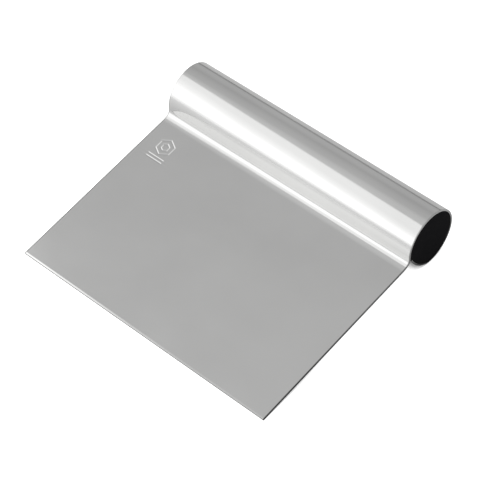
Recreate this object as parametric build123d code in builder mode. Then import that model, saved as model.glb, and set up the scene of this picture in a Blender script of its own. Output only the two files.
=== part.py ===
from build123d import *

import os
from math import asin, atan2, cos, degrees, hypot, radians, sin

# Bench scraper: one stainless sheet whose far side is rolled into a tube for a
# handle, with a moulded plug pushed into each end of the tube.
#
# It is modelled as it rests on a counter: the cutting edge and the bottom of the
# handle both touch Z = 0. X runs along the handle, Y from the cutting edge to the
# handle, and the origin is at the middle of the footprint.

os.makedirs("parts", exist_ok=True)

# ---- driving dimensions, in millimetres and degrees ----
width = 152.0           # along the handle, and along the cutting edge
sheet = 1.0             # thickness of the steel
handle_diameter = 31.4  # outside of the rolled handle
reach = 119.0           # cutting edge to the handle's axis, measured in the blade
rise = 2.6              # handle's axis above the blade's middle plane
ease_radius = 14.0      # the blade first bends up gently, to mid-sheet
ease_angle = 12.0
bend_radius = 4.1       # and then sharply, into the handle
bevel_run = 0.9         # bevel on top of the cutting edge, along the blade
bevel_drop = 0.1        # and down its front face

tuck_start = -97.0      # where the roll leaves its circle, to end inside it
tuck_radius = 7.0       # a tighter bend there, to mid-sheet
tuck_angle = 26.0
flap_radius = 22.0      # then the flatter last stretch, up to the free edge
flap_angle = 43.0

plug_depth = 12.0       # length of a plug in the handle
plug_inset = 0.1        # its face below the end of the steel
plug_face = 2.5         # thickness of the face
plug_wall = 1.8         # thickness of the skirt
plug_clearance = 0.12   # between skirt and steel
plug_edge = 0.25        # rounding of the face's rim
plug_step_angle = 2.0   # its outline leaves the bore this far short of the bend
rib_width = 1.0         # rings that hold the plug in the bore
rib_pitch = 3.0
rib_clearance = 0.02    # between a ring and the steel
rib_count = 3

# ---- the rolled section, drawn in the blade's own plane ----
# u runs from the cutting edge along the blade and v up from its middle plane.
half_sheet = sheet / 2
handle_radius = handle_diameter / 2
roll_radius = handle_radius - half_sheet


def around(centre, radius, angle):
    """The point at an angle on a circle of the section."""
    return (
        centre[0] + radius * cos(radians(angle)),
        centre[1] + radius * sin(radians(angle)),
    )


# The sharp bend touches the roll from outside, so their centres are apart by both
# radii. The gentle one is tangent to the flat blade and to the sharp one.
roll_centre = (reach, rise)
ease_height = ease_radius - (ease_radius - bend_radius) * cos(radians(ease_angle))
bend_to_roll = roll_radius + bend_radius
bend_u = reach - (bend_to_roll**2 - (ease_height - rise) ** 2) ** 0.5
bend_centre = (bend_u, ease_height)
flat_end = bend_u - (ease_radius - bend_radius) * sin(radians(ease_angle))
ease_centre = (flat_end, ease_radius)

# Angle at which bend and roll touch, seen from the bend and then from the roll.
bend_start = ease_angle - 90
bend_end = degrees(atan2(rise - ease_height, reach - bend_u))
roll_start = bend_end + 180
bend_sweep = bend_end - bend_start
roll_sweep = roll_start - tuck_start

# Each stretch after the roll starts where the one before it ends.
flap_start = tuck_start - tuck_angle
flap_end = flap_start - flap_angle
tuck_centre = around(roll_centre, roll_radius - tuck_radius, tuck_start)
flap_centre = around(tuck_centre, tuck_radius - flap_radius, flap_start)

# ---- resting posture ----
# The ground passes under the cutting edge's lower corner and touches the roll.
corner_to_axis = hypot(reach, rise + half_sheet)
tilt = degrees(asin(handle_radius / corner_to_axis) - atan2(rise + half_sheet, reach))
tilt_cos = cos(radians(tilt))
tilt_sin = sin(radians(tilt))

front_y = -(half_sheet - bevel_drop) * tilt_sin
back_y = reach * tilt_cos - rise * tilt_sin + handle_radius
middle_y = (front_y + back_y) / 2


def section_plane(x):
    """The blade's own u, v plane, across the handle at x."""
    return Plane(
        origin=(x, -middle_y, half_sheet * tilt_cos),
        x_dir=(0, tilt_cos, tilt_sin),
        z_dir=(1, 0, 0),
    )


# ---- rolled sheet: blade, bend, handle and tucked-in free edge in one strip ----
with BuildPart() as rolled_sheet:
    with BuildSketch(section_plane(0)):
        with BuildLine():
            # upper side of the blade, which becomes the outside of the handle
            Polyline(
                (0, -half_sheet),
                (0, half_sheet - bevel_drop),
                (bevel_run, half_sheet),
                (flat_end, half_sheet),
            )
            CenterArc(ease_centre, ease_radius - half_sheet, -90, ease_angle)
            CenterArc(bend_centre, bend_radius - half_sheet, bend_start, bend_sweep)
            CenterArc(roll_centre, roll_radius + half_sheet, roll_start, -roll_sweep)
            CenterArc(tuck_centre, tuck_radius + half_sheet, tuck_start, -tuck_angle)
            CenterArc(flap_centre, flap_radius + half_sheet, flap_start, -flap_angle)
            # across the free edge, and back along the inside
            Line(
                around(flap_centre, flap_radius + half_sheet, flap_end),
                around(flap_centre, flap_radius - half_sheet, flap_end),
            )
            CenterArc(flap_centre, flap_radius - half_sheet, flap_end, flap_angle)
            CenterArc(tuck_centre, tuck_radius - half_sheet, flap_start, tuck_angle)
            CenterArc(roll_centre, roll_radius - half_sheet, tuck_start, roll_sweep)
            CenterArc(bend_centre, bend_radius + half_sheet, bend_end, -bend_sweep)
            CenterArc(ease_centre, ease_radius + half_sheet, bend_start, -ease_angle)
            Line((flat_end, -half_sheet), (0, -half_sheet))
        make_face()
    extrude(amount=width / 2, both=True)


# ---- end plug: a cup that fills the bore, with rings around its skirt ----
def bore_section(gap):
    """The inside of the roll, smaller by a gap, closed across its free edge."""
    inward = half_sheet + gap
    roll_from = roll_start - plug_step_angle
    with BuildSketch() as bore:
        with BuildLine():
            CenterArc(roll_centre, roll_radius - inward, roll_from, tuck_start - roll_from)
            CenterArc(tuck_centre, tuck_radius - inward, tuck_start, -tuck_angle)
            CenterArc(flap_centre, flap_radius - inward, flap_start, -flap_angle)
            Line(
                around(flap_centre, flap_radius - inward, flap_end),
                around(roll_centre, roll_radius - inward, roll_from),
            )
        make_face()
    return bore.sketch


skirt_section = bore_section(plug_clearance)
rib_section = bore_section(rib_clearance)
hollow_section = bore_section(plug_clearance + plug_wall)

outer_x = -width / 2 + plug_inset
inner_x = outer_x + plug_depth
face_x = outer_x + plug_face

with BuildPart() as end_plug_left:
    with BuildSketch(section_plane(outer_x)):
        add(skirt_section)
    extrude(amount=plug_depth)
    fillet(end_plug_left.faces().sort_by(Axis.X)[0].edges(), radius=plug_edge)
    for rib in range(rib_count):
        with BuildSketch(section_plane(face_x + rib * rib_pitch)):
            add(rib_section)
        extrude(amount=rib_width)
    with BuildSketch(section_plane(face_x)):
        add(hollow_section)
    extrude(amount=inner_x - face_x, mode=Mode.SUBTRACT)

with BuildPart() as end_plug_right:
    mirror(end_plug_left.part, about=Plane.YZ)

# ---- one file for each piece ----
rolled_sheet.part.label = "rolled_sheet"
end_plug_left.part.label = "end_plug_left"
end_plug_right.part.label = "end_plug_right"

export_step(rolled_sheet.part, "parts/rolled_sheet.step")
export_step(end_plug_left.part, "parts/end_plug_left.step")
export_step(end_plug_right.part, "parts/end_plug_right.step")

print(f"tilt {tilt:.3f} deg, flat blade to u = {flat_end:.2f}, roll from {roll_start:.2f} deg")
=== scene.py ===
from math import radians

import bpy
import numpy as np
from mathutils import Matrix, Vector


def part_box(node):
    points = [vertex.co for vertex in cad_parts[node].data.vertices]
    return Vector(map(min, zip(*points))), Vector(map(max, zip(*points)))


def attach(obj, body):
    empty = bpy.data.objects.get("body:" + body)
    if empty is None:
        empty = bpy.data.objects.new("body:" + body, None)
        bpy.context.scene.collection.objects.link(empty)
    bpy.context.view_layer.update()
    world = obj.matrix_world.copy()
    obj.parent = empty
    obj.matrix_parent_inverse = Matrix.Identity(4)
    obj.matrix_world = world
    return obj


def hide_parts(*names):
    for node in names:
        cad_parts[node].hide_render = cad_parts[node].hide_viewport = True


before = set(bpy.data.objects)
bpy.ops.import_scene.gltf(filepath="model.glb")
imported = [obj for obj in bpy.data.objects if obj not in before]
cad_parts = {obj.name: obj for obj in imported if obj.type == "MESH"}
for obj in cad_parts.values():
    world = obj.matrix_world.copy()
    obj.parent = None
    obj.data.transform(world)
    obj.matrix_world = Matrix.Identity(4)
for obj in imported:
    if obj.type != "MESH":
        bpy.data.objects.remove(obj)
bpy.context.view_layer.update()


# Everything is in metres. The rolled section is drawn in the blade's own plane:
# u runs from the cutting edge along the blade, v stands up from its middle plane,
# and the plane leans back by the angle at which the scraper rests.
section = {
    "thickness": 0.001,
    "handleRadius": 0.0157,
    "reach": 0.119,             # cutting edge to the middle of the handle
    "rise": 0.0026,             # middle of the handle above the blade's middle
    "easeRadius": 0.014,        # a gentle bend first, then the sharp one
    "easeAngle": 12.0,
    "bendRadius": 0.0041,
    "bevelRun": 0.0009,
    "bevelDrop": 0.0001,
    "tuckStart": -97.0,         # degrees around the handle where it leaves its circle
    "tuckRadius": 0.007,        # a tighter bend, then the flatter flap inside
    "tuckAngle": 26.0,
    "flapRadius": 0.022,
    "flapAngle": 43.0,
}

sheetBox = [np.array(corner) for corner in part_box("rolled_sheet")]
halfWidth = float(sheetBox[1][0] - sheetBox[0][0]) / 2
halfSheet = section["thickness"] / 2
rollRadius = section["handleRadius"] - halfSheet
rollCentre = np.array([section["reach"], section["rise"]])


def pointAround(centre, radius, angle):
    # the point at an angle in degrees on a circle of the section
    return centre + radius * np.array([np.cos(radians(angle)), np.sin(radians(angle))])


# The stretches of the section touch end to end, so each centre follows from the last
easeToBend = section["easeRadius"] - section["bendRadius"]
bendHeight = section["easeRadius"] - easeToBend * np.cos(radians(section["easeAngle"]))
bendU = section["reach"] - np.sqrt((rollRadius + section["bendRadius"]) ** 2
                                   - (bendHeight - section["rise"]) ** 2)
bendCentre = np.array([bendU, bendHeight])
flatEnd = bendU - easeToBend * np.sin(radians(section["easeAngle"]))
easeCentre = np.array([flatEnd, section["easeRadius"]])
bendStart = section["easeAngle"] - 90
bendEnd = np.degrees(np.arctan2(section["rise"] - bendHeight, section["reach"] - bendU))
rollStart = bendEnd + 180
flapStart = section["tuckStart"] - section["tuckAngle"]
flapEnd = flapStart - section["flapAngle"]
tuckCentre = pointAround(rollCentre, rollRadius - section["tuckRadius"], section["tuckStart"])
flapCentre = pointAround(tuckCentre, section["tuckRadius"] - section["flapRadius"], flapStart)

axisHeight = section["rise"] + halfSheet
lean = (np.arcsin(section["handleRadius"] / np.hypot(section["reach"], axisHeight))
        - np.arctan2(axisHeight, section["reach"]))
frontY = float(sheetBox[0][1]) + (halfSheet - section["bevelDrop"]) * np.sin(lean)


def toFrame(x, u, v):
    # a point of the section, leaned back by the resting angle about the cutting edge
    y = frontY + u * np.cos(lean) - v * np.sin(lean)
    z = halfSheet * np.cos(lean) + u * np.sin(lean) + v * np.cos(lean)
    return np.stack(np.broadcast_arrays(x, y, z), axis=-1)


def gridFaces(rows, columns, start=0, flip=False):
    # corners of every cell of a grid of points, numbered row by row
    row, column = np.meshgrid(np.arange(rows - 1), np.arange(columns - 1), indexing="ij")
    first = (start + row * columns + column).ravel()
    cells = np.stack([first, first + columns, first + columns + 1, first + 1], axis=1)
    return cells[:, ::-1] if flip else cells


def bandFaces(lineA, lineB):
    # cells between two lines of points that match one to one
    return np.stack([lineA[:-1], lineB[:-1], lineB[1:], lineA[1:]], axis=1)


def meshPiece(name, points, cells, material, node):
    # one smooth mesh from its points and cells, in the place of a node of the frame
    mesh = bpy.data.meshes.new(name)
    mesh.from_pydata(points.tolist(), [], cells)
    mesh.polygons.foreach_set("use_smooth", np.ones(len(mesh.polygons), bool))
    mesh.materials.append(material)
    mesh.update()
    piece = bpy.data.objects.new(name, mesh)
    bpy.context.scene.collection.objects.link(piece)
    weighted = piece.modifiers.new("evenNormals", "WEIGHTED_NORMAL")
    weighted.mode = "FACE_AREA"
    weighted.weight = 50
    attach(piece, "root")
    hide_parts(node)
    return piece


def newMaterial(name):
    # an empty material, with what its maker needs: nodes, links and the main shader
    material = bpy.data.materials.new(name)
    material.use_nodes = True
    nodes = material.node_tree.nodes
    return material, nodes, material.node_tree.links, nodes["Principled BSDF"]


noiseRoughness = 0.55
noiseRange = (0.3, 0.7)         # what the noise mostly fills of its 0 to 1


def stretchedNoise(nodes, links, scale, detail=3.0):
    # noise on Object coordinates, with its own scale along each axis
    place = nodes.new("ShaderNodeTexCoord")
    mapping = nodes.new("ShaderNodeMapping")
    mapping.inputs["Scale"].default_value = scale
    noise = nodes.new("ShaderNodeTexNoise")
    noise.inputs["Scale"].default_value = 1.0
    noise.inputs["Detail"].default_value = detail
    noise.inputs["Roughness"].default_value = noiseRoughness
    links.new(place.outputs["Object"], mapping.inputs["Vector"])
    links.new(mapping.outputs["Vector"], noise.inputs["Vector"])
    return noise.outputs["Fac"]


def spread(nodes, links, value, fromLow, fromHigh, toLow, toHigh):
    # straight remap of one range to another, held at both ends
    remap = nodes.new("ShaderNodeMapRange")
    remap.inputs["From Min"].default_value = fromLow
    remap.inputs["From Max"].default_value = fromHigh
    remap.inputs["To Min"].default_value = toLow
    remap.inputs["To Max"].default_value = toHigh
    links.new(value, remap.inputs["Value"])
    return remap.outputs["Result"]


def joined(nodes, links, operation, first, second):
    # one arithmetic step between two sockets, or a socket and a number
    step = nodes.new("ShaderNodeMath")
    step.operation = operation
    for socket, value in zip(step.inputs, (first, second)):
        if isinstance(value, (int, float)):
            socket.default_value = value
        else:
            links.new(value, socket)
    return step.outputs[0]


def weighed(nodes, links, first, second, share):
    # the sum of two patterns, the second by its share and the first by the rest
    return joined(nodes, links, "ADD", joined(nodes, links, "MULTIPLY", first, 1 - share),
                  joined(nodes, links, "MULTIPLY", second, share))


def cloudedTone(nodes, links, clouds, look):
    # the tone times its first share where the clouds are low, and its second where high
    tone = nodes.new("ShaderNodeMix")
    tone.data_type = "RGBA"
    links.new(spread(nodes, links, clouds, *noiseRange, 0.0, 1.0), tone.inputs["Factor"])
    for end, share in zip("AB", look["toneShares"]):
        tone.inputs[end].default_value = (*(c * share for c in look["tone"]), 1)
    return tone.outputs["Result"]


def addRelief(nodes, links, shader, height, look):
    # bends the shader's normal by a pattern of heights
    bump = nodes.new("ShaderNodeBump")
    bump.inputs["Strength"].default_value = look["relief"]
    bump.inputs["Distance"].default_value = look["reliefDepth"]
    links.new(height, bump.inputs["Height"])
    links.new(bump.outputs["Normal"], shader.inputs["Normal"])


# stainless steel, mill finish with a faint grain along the handle
steelLook = {
    "tone": (0.66, 0.66, 0.655),
    "toneShares": (0.97, 1.02),
    "edgeShadeTone": (0.012, 0.012, 0.013),  # painted shade: near-black on the sheared edges, for the shadowed floor they reflect
    "shadeFadeFrom": 0.004,          # above this height the painted shade on the handle's rim fades lighter
    "shadeFadeOver": 0.022,          # over this much height, up to its share
    "shadeFadeShare": 0.75,
    "edgeShadeBand": 0.00018,            # how far in from the sheared sides the painted shade reaches
    "frontDepth": 0.00001,      # and from the cutting edge's front face
    "roughness": (0.10, 0.13),
    "grainScale": (60.0, 5200.0, 5200.0),
    "cloudScale": (22.0, 30.0, 30.0),
    "fineScale": (1800.0, 1800.0, 1800.0),
    "relief": 0.05,
    "reliefDepth": 0.00002,
    "minorShare": 0.3,          # of the grain in the roughness, and the fine one in the relief
}


def makeSteel():
    # bare metal, cloudy in tone and roughness, with painted shade darkening its sheared edges
    look = steelLook
    material, nodes, links, shader = newMaterial("millSteel")
    shader.inputs["Metallic"].default_value = 1.0
    grain = stretchedNoise(nodes, links, look["grainScale"], detail=4.0)
    clouds = stretchedNoise(nodes, links, look["cloudScale"])
    fine = stretchedNoise(nodes, links, look["fineScale"], detail=2.0)

    smear = weighed(nodes, links, clouds, grain, look["minorShare"])
    links.new(spread(nodes, links, smear, *noiseRange, *look["roughness"]),
              shader.inputs["Roughness"])

    # painted shade: a mask from the sheet mixes the sheared edges to near-black
    paintedEdgeShade = nodes.new("ShaderNodeAttribute")
    paintedEdgeShade.attribute_name = "paintedEdgeShade"
    edgeShaded = nodes.new("ShaderNodeMix")
    edgeShaded.data_type = "RGBA"
    links.new(paintedEdgeShade.outputs["Fac"], edgeShaded.inputs["Factor"])
    links.new(cloudedTone(nodes, links, clouds, look), edgeShaded.inputs["A"])
    edgeShaded.inputs["B"].default_value = (*look["edgeShadeTone"], 1)
    links.new(edgeShaded.outputs["Result"], shader.inputs["Base Color"])

    height = weighed(nodes, links, grain, fine, look["minorShare"])
    addRelief(nodes, links, shader, height, look)
    return material


# black moulded plastic of the plugs
plugLook = {
    "tone": (0.0045, 0.0045, 0.0052),
    "toneShares": (0.8, 1.3),
    "roughness": (0.5, 0.65),
    "gloss": 0.02,
    "pebbleScale": (2600.0, 2600.0, 2600.0),
    "cloudScale": (160.0, 160.0, 160.0),
    "relief": 0.25,
    "reliefDepth": 0.00004,
}


def makePlugPlastic():
    # nearly black, hardly glossy, cloudy in tone and roughness, with a pebbled skin
    look = plugLook
    material, nodes, links, shader = newMaterial("mouldedBlack")
    shader.inputs["Specular IOR Level"].default_value = look["gloss"]
    pebble = stretchedNoise(nodes, links, look["pebbleScale"])
    clouds = stretchedNoise(nodes, links, look["cloudScale"])
    links.new(spread(nodes, links, clouds, *noiseRange, *look["roughness"]),
              shader.inputs["Roughness"])
    links.new(cloudedTone(nodes, links, clouds, look), shader.inputs["Base Color"])
    addRelief(nodes, links, shader, pebble, look)
    return material


steel = makeSteel()
plugPlastic = makePlugPlastic()
print("materials made")

# the sheet: blade, bend, handle and tucked-in edge, as one grid along and across it
sheetDetail = {
    "edgeRound": 0.00008,       # cutting edge's corners
    "rimRound": 0.00014,        # all the other free edges
    "roundSteps": 4,
    "arcStep": 2.0,             # degrees between stations around the bends and handle
    "rowPitch": 0.006,          # plain parts of the grid
    "leftPitch": 0.004,         # columns left of the stamp, and right of it
    "rightPitch": 0.008,
    "lastRows": 3,              # from the stamp to the first bend
    "bevelBreak": 0.00008,      # rows close on both sides of the bevel's upper end
    "bevelLead": 0.0004,
    "sideBand": 0.0006,         # a column this far inside each side
    "endRows": 20,              # rows that can be near the free edge
}

stamp = {
    "centre": (-0.0636, 0.0862),  # along the handle, and along the blade
    "size": 0.0042,             # middle of the mark to its flats
    "lineWidth": 0.0011,
    "depth": 0.00013,
    "innerSize": 0.45,          # the inner outline, as a share of the outer
    "pitch": 0.00018,           # grid spacing in the stamped patch
    "patch": (-0.0096, 0.0056),  # that patch along the blade, from the centre
    "patchMargin": 0.0004,      # and beyond the bars, along the handle
    "barLength": 0.0095,
    "barOffsets": (-0.0068, -0.0086),
}


def insetOfRound(distance, radius):
    # how far a quarter-round edge has dropped at a distance from the rim
    near = np.clip(radius - distance, 0, radius)
    return radius - np.sqrt(radius ** 2 - near ** 2)


def roundStations(radius, steps):
    # distances from the rim, spaced evenly around the quarter round
    return radius * (1 - np.cos(np.linspace(0, np.pi / 2, steps + 1)))


def stampDepth(x, u):
    # grooves along a six-sided outline, a smaller one in it, and two plain bars
    dx = x - stamp["centre"][0]
    du = u - stamp["centre"][1]
    half = stamp["lineWidth"] / 2
    flats = [radians(angle) for angle in (0, 60, 120)]
    across = np.max([np.abs(dx * np.cos(turn) + du * np.sin(turn)) for turn in flats], axis=0)
    lines = [np.abs(across - stamp["size"]),
             np.abs(across - stamp["size"] * stamp["innerSize"])]
    for offset in stamp["barOffsets"]:
        beyond = np.clip(np.abs(dx) - stamp["barLength"] / 2, 0, None)
        lines.append(np.hypot(beyond, du - offset))
    nearest = np.min(lines, axis=0)
    return stamp["depth"] * np.clip(1 - (nearest / half) ** 2, 0, None) ** 2


def sheetStations():
    # along the strip: points of the middle surface, and its normals
    detail = sheetDetail
    edge = roundStations(detail["edgeRound"], detail["roundSteps"])
    patchLow, patchHigh = (stamp["centre"][1] + end for end in stamp["patch"])
    bevelEnd = section["bevelRun"]
    near, lead = detail["bevelBreak"], detail["bevelLead"]
    flat = np.concatenate([
        edge,
        [bevelEnd / 2, bevelEnd - near, bevelEnd, bevelEnd + near, bevelEnd + lead],
        np.arange(detail["rowPitch"], patchLow, detail["rowPitch"]),
        np.arange(patchLow, patchHigh, stamp["pitch"]),
        np.linspace(patchHigh, flatEnd, detail["lastRows"] + 1)[:-1],
    ])
    points = [np.stack([flat, np.zeros_like(flat)], axis=1)]
    normals = [np.tile([0.0, 1.0], (len(flat), 1))]

    def carryOn(centre, radius, angles, side):
        # an arc of the section, with its normal on the upper or outer side
        turn = np.radians(angles)
        outward = np.stack([np.cos(turn), np.sin(turn)], axis=1)
        points.append(centre + radius * outward)
        normals.append(side * outward)

    def evenly(start, end):
        # angles from start to end, no further apart than the arc step
        return np.linspace(start, end, int(abs(end - start) / detail["arcStep"]) + 2)

    rim = np.degrees(roundStations(detail["rimRound"], detail["roundSteps"])
                     / section["flapRadius"])
    flap = evenly(flapStart, flapEnd)[1:-1]
    carryOn(easeCentre, section["easeRadius"], evenly(-90, bendStart), -1)
    carryOn(bendCentre, section["bendRadius"], evenly(bendStart, bendEnd)[1:], -1)
    carryOn(rollCentre, rollRadius, evenly(rollStart, section["tuckStart"])[1:], 1)
    carryOn(tuckCentre, section["tuckRadius"], evenly(section["tuckStart"], flapStart)[1:], 1)
    carryOn(flapCentre, section["flapRadius"], np.concatenate([flap, flapEnd + rim[::-1]]), 1)
    return np.concatenate(points), np.concatenate(normals)


def sheetColumns():
    # across the strip, with close columns at both rims and in the stamped patch
    detail = sheetDetail
    rim = halfWidth - roundStations(detail["rimRound"], detail["roundSteps"])
    patch = stamp["barLength"] / 2 + stamp["patchMargin"]
    patchLow = stamp["centre"][0] - patch
    patchHigh = stamp["centre"][0] + patch
    inner = halfWidth - detail["sideBand"]
    return np.concatenate([
        -rim,
        [-inner],
        np.arange(-inner + detail["leftPitch"], patchLow, detail["leftPitch"]),
        np.arange(patchLow, patchHigh, stamp["pitch"]),
        np.arange(patchHigh, inner, detail["rightPitch"]),
        [inner],
        rim[::-1],
    ])


def makeSheet():
    # each side stands half a thickness off the middle surface, less where an edge rounds
    middle, normal = sheetStations()
    columns = sheetColumns()
    rows = len(middle)
    u = middle[:, 0]
    onFlat = (middle[:, 1] == 0) & (u < flatEnd)
    fromFront = np.where(onFlat, u, np.inf)
    fromEnd = np.full(rows, np.inf)
    ending = slice(rows - sheetDetail["endRows"], rows)
    fromEnd[ending] = np.hypot(*(middle[ending] - middle[-1]).T)

    bevel = section["bevelDrop"] * np.clip(1 - fromFront / section["bevelRun"], 0, 1)
    lengthInset = (insetOfRound(fromFront, sheetDetail["edgeRound"])
                   + insetOfRound(fromEnd, sheetDetail["rimRound"]))
    sideInset = insetOfRound(halfWidth - np.abs(columns), sheetDetail["rimRound"])
    inset = lengthInset[:, None] + sideInset[None, :]

    x = np.broadcast_to(columns[None, :], inset.shape)
    mark = np.where(onFlat[:, None], stampDepth(x, u[:, None]), 0.0)
    upper = halfSheet - inset - bevel[:, None] - mark
    lower = -(halfSheet - inset)

    def side(offset):
        # points at offsets along the normals
        at = middle[:, None, :] + normal[:, None, :] * offset[:, :, None]
        return toFrame(x, at[..., 0], at[..., 1])

    points = np.concatenate([side(upper).reshape(-1, 3), side(lower).reshape(-1, 3)])
    across = len(columns)
    count = rows * across
    top = np.arange(count).reshape(rows, across)
    under = top + count
    cells = np.concatenate([
        gridFaces(rows, across, flip=True),
        gridFaces(rows, across, start=count),
        bandFaces(under[:, 0], top[:, 0]),
        bandFaces(top[:, -1], under[:, -1]),
        bandFaces(top[0], under[0]),
        bandFaces(under[-1], top[-1]),
    ])
    sheet = meshPiece("rolled_blade", points, cells.tolist(), steel, "rolled_sheet")

    # painted shade on the sheared edges: black along the blade and the cutting edge's front
    # face, fading lighter up the handle's rim
    z = points[:, 2].reshape(2, rows, across)
    # painted shade on the rim: dark low down, lighter higher up
    rimShadeFade = np.clip((z - steelLook["shadeFadeFrom"]) / steelLook["shadeFadeOver"], 0, 1)
    sides = np.abs(x) > halfWidth - steelLook["edgeShadeBand"]
    front = (u < steelLook["frontDepth"])[:, None]
    share = np.maximum(sides * (1 - steelLook["shadeFadeShare"] * rimShadeFade), front)
    paintedEdgeShade = sheet.data.attributes.new("paintedEdgeShade", "FLOAT", "POINT")
    paintedEdgeShade.data.foreach_set("value", share.ravel().astype(np.float32))
    return sheet


rolledBlade = makeSheet()
print("sheet made,", len(rolledBlade.data.polygons), "cells")

# an end plug: a cup whose outline is the inside of the roll, with rings on its skirt
plug = {
    "depth": 0.012,
    "inset": 0.0001,            # face below the end of the steel
    "face": 0.0025,
    "wall": 0.0018,
    "clearance": 0.00012,
    "rimRound": 0.00025,
    "rimSteps": 6,
    "ribHeight": 0.0001,
    "ribWidth": 0.001,
    "ribPitch": 0.003,
    "ribCount": 3,
    "stepAngle": 2.0,           # its outline leaves the roll this far short of the bend
    "corner": 0.0002,           # small bevels of the rings and of the skirt's end
    "innerCorner": 0.0006,
    "faceRings": (0.0, 0.1, 0.4, 0.75),  # shares of the radius on the face
    "backRings": (0.96, 0.5, 0.0),  # and on the face's inner side
    "around": 180,
}


def rayToCircle(angle, centre, radius):
    # from the handle's axis out at an angle to the far side of a circle of the section
    offset = centre - rollCentre
    along = offset[0] * np.cos(np.radians(angle)) + offset[1] * np.sin(np.radians(angle))
    return along + np.sqrt(radius ** 2 - offset @ offset + along ** 2)


def polarOf(point):
    # angle of a point of the section around the handle's axis, from -360 to 0
    offset = point - rollCentre
    return (np.degrees(np.arctan2(offset[1], offset[0])) + 720) % 360 - 360


tuckBore = section["tuckRadius"] - halfSheet
flapBore = section["flapRadius"] - halfSheet
tuckTurn = polarOf(pointAround(tuckCentre, tuckBore, flapStart))
flapTurn = polarOf(pointAround(flapCentre, flapBore, flapEnd))
rollTurn = rollStart - plug["stepAngle"] - 360


def boreRadius(angle):
    # distance from the handle's axis to the inside of the roll, at angles in degrees,
    # closed by a straight line from the free edge to the roll's beginning
    roll = np.full_like(angle, rollRadius - halfSheet)
    tuck = rayToCircle(angle, tuckCentre, tuckBore)
    flap = rayToCircle(angle, flapCentre, flapBore)
    fromPoint = pointAround(flapCentre, flapBore, flapEnd) - rollCentre
    run = pointAround(rollCentre, rollRadius - halfSheet, rollTurn) - rollCentre - fromPoint
    cosine, sine = np.cos(np.radians(angle)), np.sin(np.radians(angle))
    across = fromPoint[0] * run[1] - fromPoint[1] * run[0]
    line = across / (cosine * run[1] - sine * run[0])
    return np.select([angle < flapTurn, angle < tuckTurn, angle < section["tuckStart"]],
                     [line, flap, tuck], roll)


def plugProfile():
    # from the middle of the face, over the rim, along the ringed skirt and back inside:
    # share of the radius, how far inside the bore, and how far below the face
    size = plug
    face = [(share, 0.0, 0.0) for share in size["faceRings"]]
    turn = np.linspace(0, np.pi / 2, size["rimSteps"])
    rim = [(1.0, size["clearance"] + size["rimRound"] * (1 - np.sin(a)),
            size["rimRound"] * (1 - np.cos(a))) for a in turn]
    corner = size["corner"]
    proud = size["clearance"] - size["ribHeight"]
    skirt = []
    for rib in range(size["ribCount"]):
        low = size["face"] + rib * size["ribPitch"]
        high = low + size["ribWidth"]
        skirt += [(1.0, size["clearance"], low - corner), (1.0, proud, low),
                  (1.0, proud, high), (1.0, size["clearance"], high + corner)]
    end = size["depth"]
    innerWall = size["clearance"] + size["wall"]
    inside = [(1.0, size["clearance"], end - corner), (1.0, size["clearance"] + corner, end),
              (1.0, innerWall - corner, end), (1.0, innerWall, end - corner),
              (1.0, innerWall, size["face"] + size["innerCorner"])]
    inside += [(share, innerWall, size["face"]) for share in size["backRings"]]
    return np.array(face + rim + skirt + inside)


def makePlug(name, node, side):
    # the profile is carried around the bore's outline, with one point at each pole
    profile = plugProfile()
    angle = np.sort(np.concatenate([
        rollTurn + np.arange(plug["around"] - 2) * 360 / (plug["around"] - 2),
        [tuckTurn, flapTurn],
    ]))
    share, insideBy, below = (column[:, None] for column in profile.T)
    radius = share * (boreRadius(angle)[None, :] - insideBy)
    turn = np.radians(angle)[None, :]
    u = rollCentre[0] + radius * np.cos(turn)
    v = rollCentre[1] + radius * np.sin(turn)
    x = side * (halfWidth - plug["inset"] - below)
    ring = toFrame(x, u, v)
    rings = len(profile)
    count = plug["around"]
    points = np.concatenate([ring[0, :1], ring[1:-1].reshape(-1, 3), ring[-1, :1]])

    rows = np.arange((rings - 2) * count).reshape(rings - 2, count) + 1
    rows = np.concatenate([rows, rows[:, :1]], axis=1)
    cells = np.stack([rows[:-1, :-1], rows[1:, :-1], rows[1:, 1:], rows[:-1, 1:]], axis=-1)
    cells = cells.reshape(-1, 4)
    poleA = np.stack([np.zeros(count, int), rows[0, :-1], rows[0, 1:]], axis=1)
    poleB = np.stack([np.full(count, len(points) - 1), rows[-1, 1:], rows[-1, :-1]], axis=1)
    groups = [cells[:, ::side], poleA[:, ::side], poleB[:, ::side]]  # faces point outwards
    allCells = [cell for group in groups for cell in group.tolist()]
    return meshPiece(name, points, allCells, plugPlastic, node)


makePlug("plug_left", "end_plug_left", -1)
makePlug("plug_right", "end_plug_right", 1)
print("plugs made")

# floor, room, panels and camera
studio = {
    "floorTone": 0.78,
    "floorRoughness": 0.9,
    "floorGlow": (0.26, 0.0),   # in front of the scraper and behind it
    "glowFade": (-0.1, 0.1),    # between these places
    "floorLift": 0.8,           # added only where the camera sees the open floor itself
    "crevice": 0.007,           # and not in gaps as narrow as this
    "openness": (0.3, 0.6),     # share of open sky where the lift starts and is full
    "floorHalf": 4.0,
    "floorDrop": 0.00002,       # just clear of the scraper
    # angle around the handle in degrees, up from +Y, with the room's radiance and
    # warmth there
    "room": [(0, 0.22, 0), (3, 0.26, 0.02), (6, 0.50, 0.04), (20, 0.56, 0.05),
             (31, 0.53, 0.06), (40, 0.485, 0.05), (49, 0.53, 0.03), (61, 0.57, 0.01),
             (68, 0.583, 0), (72, 0.600, 0), (75, 0.645, 0), (82, 0.71, 0), (90, 0.73, 0),
             (180, 0.70, 0)],
}


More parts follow.
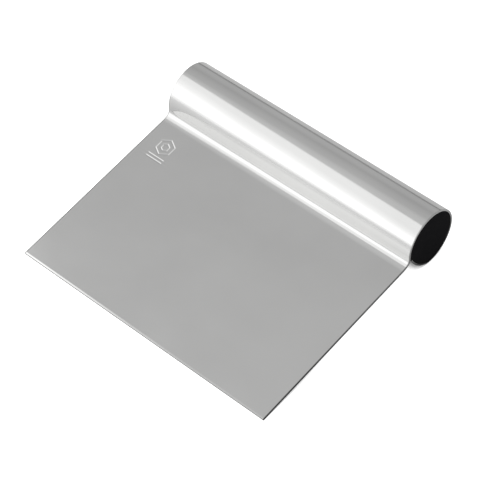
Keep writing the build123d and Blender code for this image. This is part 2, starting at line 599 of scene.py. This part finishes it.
def makeFloor():
    # a square, matt and pale, that glows by its place and by what looks at it
    half = studio["floorHalf"]
    corners = [(x, y, -studio["floorDrop"])
               for x, y in ((-half, -half), (half, -half), (half, half), (-half, half))]
    mesh = bpy.data.meshes.new("floor")
    mesh.from_pydata(corners, [], [(0, 1, 2, 3)])
    material, nodes, links, shader = newMaterial("paleFloor")
    shader.inputs["Base Color"].default_value = (*[studio["floorTone"]] * 3, 1)
    shader.inputs["Roughness"].default_value = studio["floorRoughness"]
    shader.inputs["Specular IOR Level"].default_value = 0.0
    shader.inputs["Emission Color"].default_value = (1, 1, 1, 1)
    path = nodes.new("ShaderNodeLightPath")
    openness = nodes.new("ShaderNodeAmbientOcclusion")
    openness.inputs["Distance"].default_value = studio["crevice"]
    clear = spread(nodes, links, openness.outputs["AO"], *studio["openness"],
                   0.0, studio["floorLift"])
    lift = joined(nodes, links, "MULTIPLY", path.outputs["Is Camera Ray"], clear)
    place = nodes.new("ShaderNodeTexCoord")
    parts = nodes.new("ShaderNodeSeparateXYZ")
    links.new(place.outputs["Object"], parts.inputs["Vector"])
    pale = spread(nodes, links, parts.outputs["Y"], *studio["glowFade"], *studio["floorGlow"])
    glow = joined(nodes, links, "ADD", lift, pale)
    links.new(glow, shader.inputs["Emission Strength"])
    mesh.materials.append(material)
    floor = bpy.data.objects.new("floor", mesh)
    bpy.context.scene.collection.objects.link(floor)


# Two upright panels on the left, along the camera's line of sight: a tall diffusing
# wall, and a small card close by. Their radiance by height adds to the room's.
panelAzimuth = 46.265
panels = {
    "tallWall": {
        "distance": 0.83,
        "ends": (-2.5, 3.0),
        "foot": 0.0,
        "top": 2.08,
        "stops": [(0.0, 0.5), (2.02, 0.5), (2.08, 0.42)],
    },
    "nearCard": {
        "distance": 0.155,
        "ends": (-0.5, 0.6),
        "foot": 0.0,
        "top": 0.26,
        "stops": [(0.0, 0.05), (0.028, 0.1), (0.045, 0.4), (0.13, 0.4), (0.18, 0.15),
                  (0.26, 0.0)],
    },
}


def rampOf(nodes, links, value, stops, low, high):
    # piecewise straight curve through the stops, as a ramp between low and high; a third
    # number in a stop takes that share from its blue and adds half of it to its red
    ramp = nodes.new("ShaderNodeValToRGB")
    share = spread(nodes, links, value, low, high, 0.0, 1.0)
    links.new(share, ramp.inputs["Fac"])
    marks = ramp.color_ramp.elements
    places = [(stop[0] - low) / (high - low) for stop in stops]
    marks[0].position, marks[1].position = places[0], places[-1]
    for place in places[1:-1]:
        marks.new(place)
    for mark, (at, level, *warmth) in zip(marks, stops):
        warm = sum(warmth)
        mark.color = (level * (1 + warm / 2), level, level * (1 - warm), 1)
    return ramp.outputs["Color"]


def makePanel(name, panel):
    # a rectangle of light that faces right, with radiance by height above the floor
    turn = radians(panelAzimuth)
    right = Vector((np.cos(turn), np.sin(turn), 0.0))
    forward = Vector((-np.sin(turn), np.cos(turn), 0.0))
    up = Vector((0.0, 0.0, 1.0))
    low, high = panel["ends"]
    tall = panel["top"] - panel["foot"]
    data = bpy.data.lights.new(name, "AREA")
    data.shape = "RECTANGLE"
    data.size = high - low
    data.size_y = tall
    data.energy = np.pi * data.size * data.size_y
    data.use_nodes = True
    nodes = data.node_tree.nodes
    links = data.node_tree.links
    place = nodes.new("ShaderNodeNewGeometry")
    parts = nodes.new("ShaderNodeSeparateXYZ")
    links.new(place.outputs["Parametric"], parts.inputs["Vector"])
    height = spread(nodes, links, parts.outputs["Y"], 0.0, 1.0, panel["foot"], panel["top"])
    links.new(rampOf(nodes, links, height, panel["stops"], panel["foot"], panel["top"]),
              nodes["Emission"].inputs["Strength"])
    light = bpy.data.objects.new(name, data)
    centre = (-right * panel["distance"] + forward * (low + high) / 2
              + up * (panel["foot"] + tall / 2))
    light.matrix_world = Matrix.Translation(centre) @ Matrix(
        (forward, up, -right)).transposed().to_4x4()
    light.visible_camera = False
    bpy.context.scene.collection.objects.link(light)


def makeWorld():
    # grey room that changes with the angle around the handle; the camera sees white
    world = bpy.data.worlds.new("room")
    world.use_nodes = True
    nodes = world.node_tree.nodes
    links = world.node_tree.links
    place = nodes.new("ShaderNodeTexCoord")
    parts = nodes.new("ShaderNodeSeparateXYZ")
    links.new(place.outputs["Generated"], parts.inputs["Vector"])
    angle = joined(nodes, links, "ARCTAN2", parts.outputs["Z"], parts.outputs["Y"])
    degrees = joined(nodes, links, "MULTIPLY", angle, 180 / np.pi)
    grey = rampOf(nodes, links, degrees, studio["room"], 0.0, 180.0)
    path = nodes.new("ShaderNodeLightPath")
    seen = joined(nodes, links, "MAXIMUM", grey, path.outputs["Is Camera Ray"])
    links.new(seen, nodes["Background"].inputs["Color"])
    bpy.context.scene.world = world


view = {
    "aim": (0.00291, -0.00048, 0.008),
    "azimuth": 46.265,
    "elevation": 50.092,
    "roll": -5.589,
    "distance": 1.0185,
    "lens": 162.56,
    "sensor": 36.0,
    "farthest": 20.0,
}


def makeCamera():
    # stands back from the aim along azimuth and elevation, then rolls about its own axis
    azimuth, elevation, roll = (radians(view[k]) for k in ("azimuth", "elevation", "roll"))
    back = Vector((np.sin(azimuth) * np.cos(elevation),
                   -np.cos(azimuth) * np.cos(elevation), np.sin(elevation)))
    right = Vector((0, 0, 1)).cross(back).normalized()
    up = back.cross(right)
    rolledRight = right * np.cos(roll) + up * np.sin(roll)
    rolledUp = up * np.cos(roll) - right * np.sin(roll)
    data = bpy.data.cameras.new("camera")
    data.lens = view["lens"]
    data.sensor_width = view["sensor"]
    data.clip_end = view["farthest"]
    camera = bpy.data.objects.new("camera", data)
    turned = Matrix((rolledRight, rolledUp, back)).transposed().to_4x4()
    place = Vector(view["aim"]) + back * view["distance"]
    camera.matrix_world = Matrix.Translation(place) @ turned
    bpy.context.scene.collection.objects.link(camera)
    bpy.context.scene.camera = camera


makeFloor()
for name, panel in panels.items():
    makePanel(name, panel)
makeWorld()
makeCamera()
bpy.context.scene.view_settings.view_transform = "Standard"
print("studio made")
